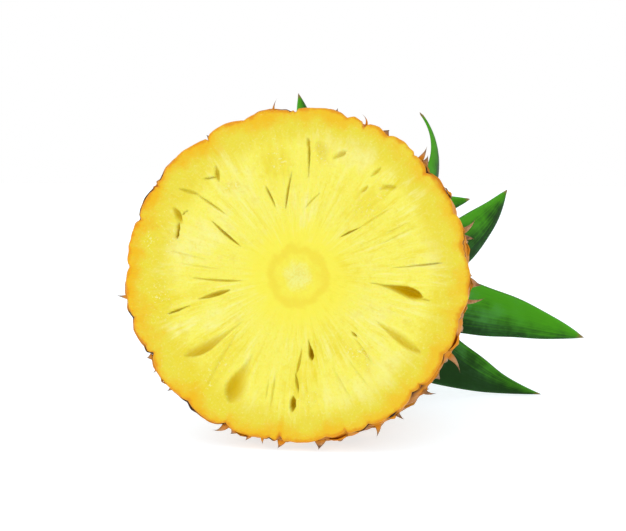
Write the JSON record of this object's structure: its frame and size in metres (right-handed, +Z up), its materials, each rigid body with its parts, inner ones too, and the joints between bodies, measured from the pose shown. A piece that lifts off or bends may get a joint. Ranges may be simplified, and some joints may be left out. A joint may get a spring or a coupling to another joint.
{
  "type": "halved pineapple with its crown",
  "caption": "Upper half of a pineapple, cut across and lying on its belly with its leafy crown on, at rest on a small flat spot.",
  "frame": {"origin": "on the flat spot of the belly, under the middle of the eye that the fruit rests on", "axes": "+Z up from the table; +Y along the fruit in plan, from the cut face to the crown; +X to the right as the cut face is seen"},
  "size_m": [0.1878, 0.2173, 0.1303],
  "materials": {
    "flesh": "satin",
    "rind": "satin",
    "bract": "matte",
    "leaf": "satin",
    "stem": "matte"
  },
  "bodies": {
    "root": {"fruit_body": "rind", "crown_stem": "stem", "crown_leaf_01": "leaf", "crown_leaf_02": "leaf", "crown_leaf_03": "leaf", "crown_leaf_04": "leaf", "crown_leaf_05": "leaf", "crown_leaf_06": "leaf", "crown_leaf_07": "leaf", "crown_leaf_08": "leaf", "crown_leaf_09": "leaf", "crown_leaf_10": "leaf", "crown_leaf_11": "leaf", "crown_leaf_12": "leaf", "crown_leaf_13": "leaf", "crown_leaf_14": "leaf", "crown_leaf_15": "leaf", "crown_leaf_16": "leaf", "crown_leaf_17": "leaf", "crown_leaf_18": "leaf", "crown_leaf_19": "leaf", "crown_leaf_20": "leaf", "crown_leaf_21": "leaf", "crown_leaf_22": "leaf", "crown_leaf_23": "leaf", "crown_leaf_24": "leaf", "crown_leaf_25": "leaf", "crown_leaf_26": "leaf", "crown_leaf_27": "leaf", "crown_leaf_28": "leaf", "crown_leaf_29": "leaf", "crown_leaf_30": "leaf", "crown_leaf_31": "leaf", "crown_leaf_32": "leaf", "crown_leaf_33": "leaf", "crown_leaf_34": "leaf", "crown_leaf_35": "leaf", "crown_leaf_36": "leaf", "crown_leaf_37": "leaf", "crown_leaf_38": "leaf", "crown_leaf_39": "leaf", "crown_leaf_40": "leaf", "crown_leaf_41": "leaf", "crown_leaf_42": "leaf", "crown_leaf_43": "leaf", "crown_leaf_44": "leaf", "crown_leaf_45": "leaf", "crown_leaf_46": "leaf", "crown_leaf_47": "leaf", "crown_leaf_48": "leaf", "crown_leaf_49": "leaf", "crown_leaf_50": "leaf", "crown_leaf_51": "leaf", "crown_leaf_52": "leaf", "crown_leaf_53": "leaf", "crown_leaf_54": "leaf"}
  },
  "joints": []
}
